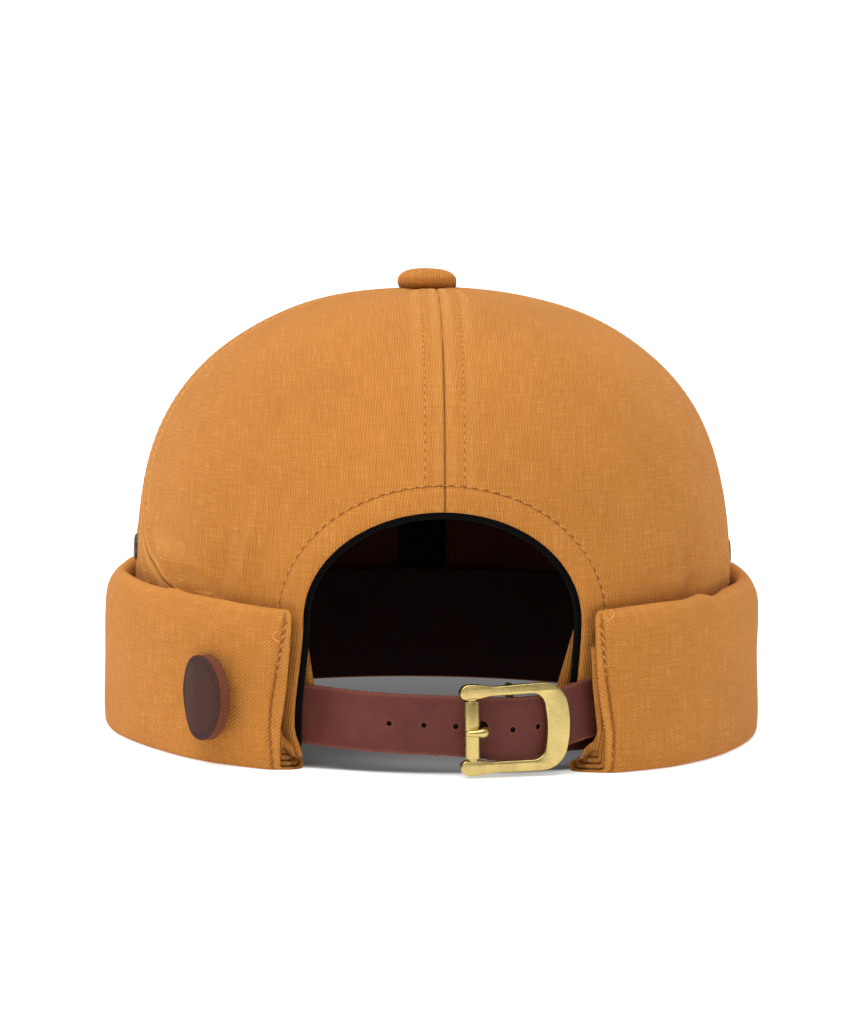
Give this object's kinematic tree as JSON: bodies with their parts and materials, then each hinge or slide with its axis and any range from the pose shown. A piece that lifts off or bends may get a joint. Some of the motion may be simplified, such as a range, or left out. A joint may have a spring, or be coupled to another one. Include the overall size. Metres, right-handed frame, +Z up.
{
  "type": "brimless cap",
  "caption": "Brimless cloth cap with a domed crown, a thick turned-up cuff, an arch opening at the back and a buckled leather strap across it.",
  "frame": {"origin": "middle of the cap's footprint, on the surface that its cuff rests on", "axes": "+Z up through the button, +Y the way the wearer faces, the back opening and buckle at -Y, +X the wearer's right"},
  "size_m": [0.1926, 0.2179, 0.1338],
  "materials": {
    "cloth": "ochre cotton twill, washed",
    "tape": "black woven seam tape",
    "leather": "dark red-brown strap leather with raw edges",
    "patch_leather": "dark brown leather, plain",
    "brass": "cast brass, lightly worn",
    "aged_brass": "dark antique brass"
  },
  "bodies": {
    "root": {"front_left_panel": "cloth", "front_right_panel": "cloth", "back_left_panel": "cloth", "back_right_panel": "cloth", "top_button": "cloth", "arch_hem": "cloth", "arch_tape": "tape", "front_seam_tape": "tape", "back_seam_tape": "tape", "left_seam_tape": "tape", "right_seam_tape": "tape", "sweatband": "leather", "left_tab": "cloth", "right_tab": "cloth", "cuff": "cloth", "leather_patch": "patch_leather", "eyelet_left_rear": "aged_brass", "eyelet_left_front": "aged_brass", "eyelet_right_rear": "aged_brass", "eyelet_right_front": "aged_brass", "long_strap": "leather", "short_strap": "leather", "buckle_frame": "brass", "buckle_roller": "brass", "buckle_prong": "brass"}
  },
  "joints": []
}
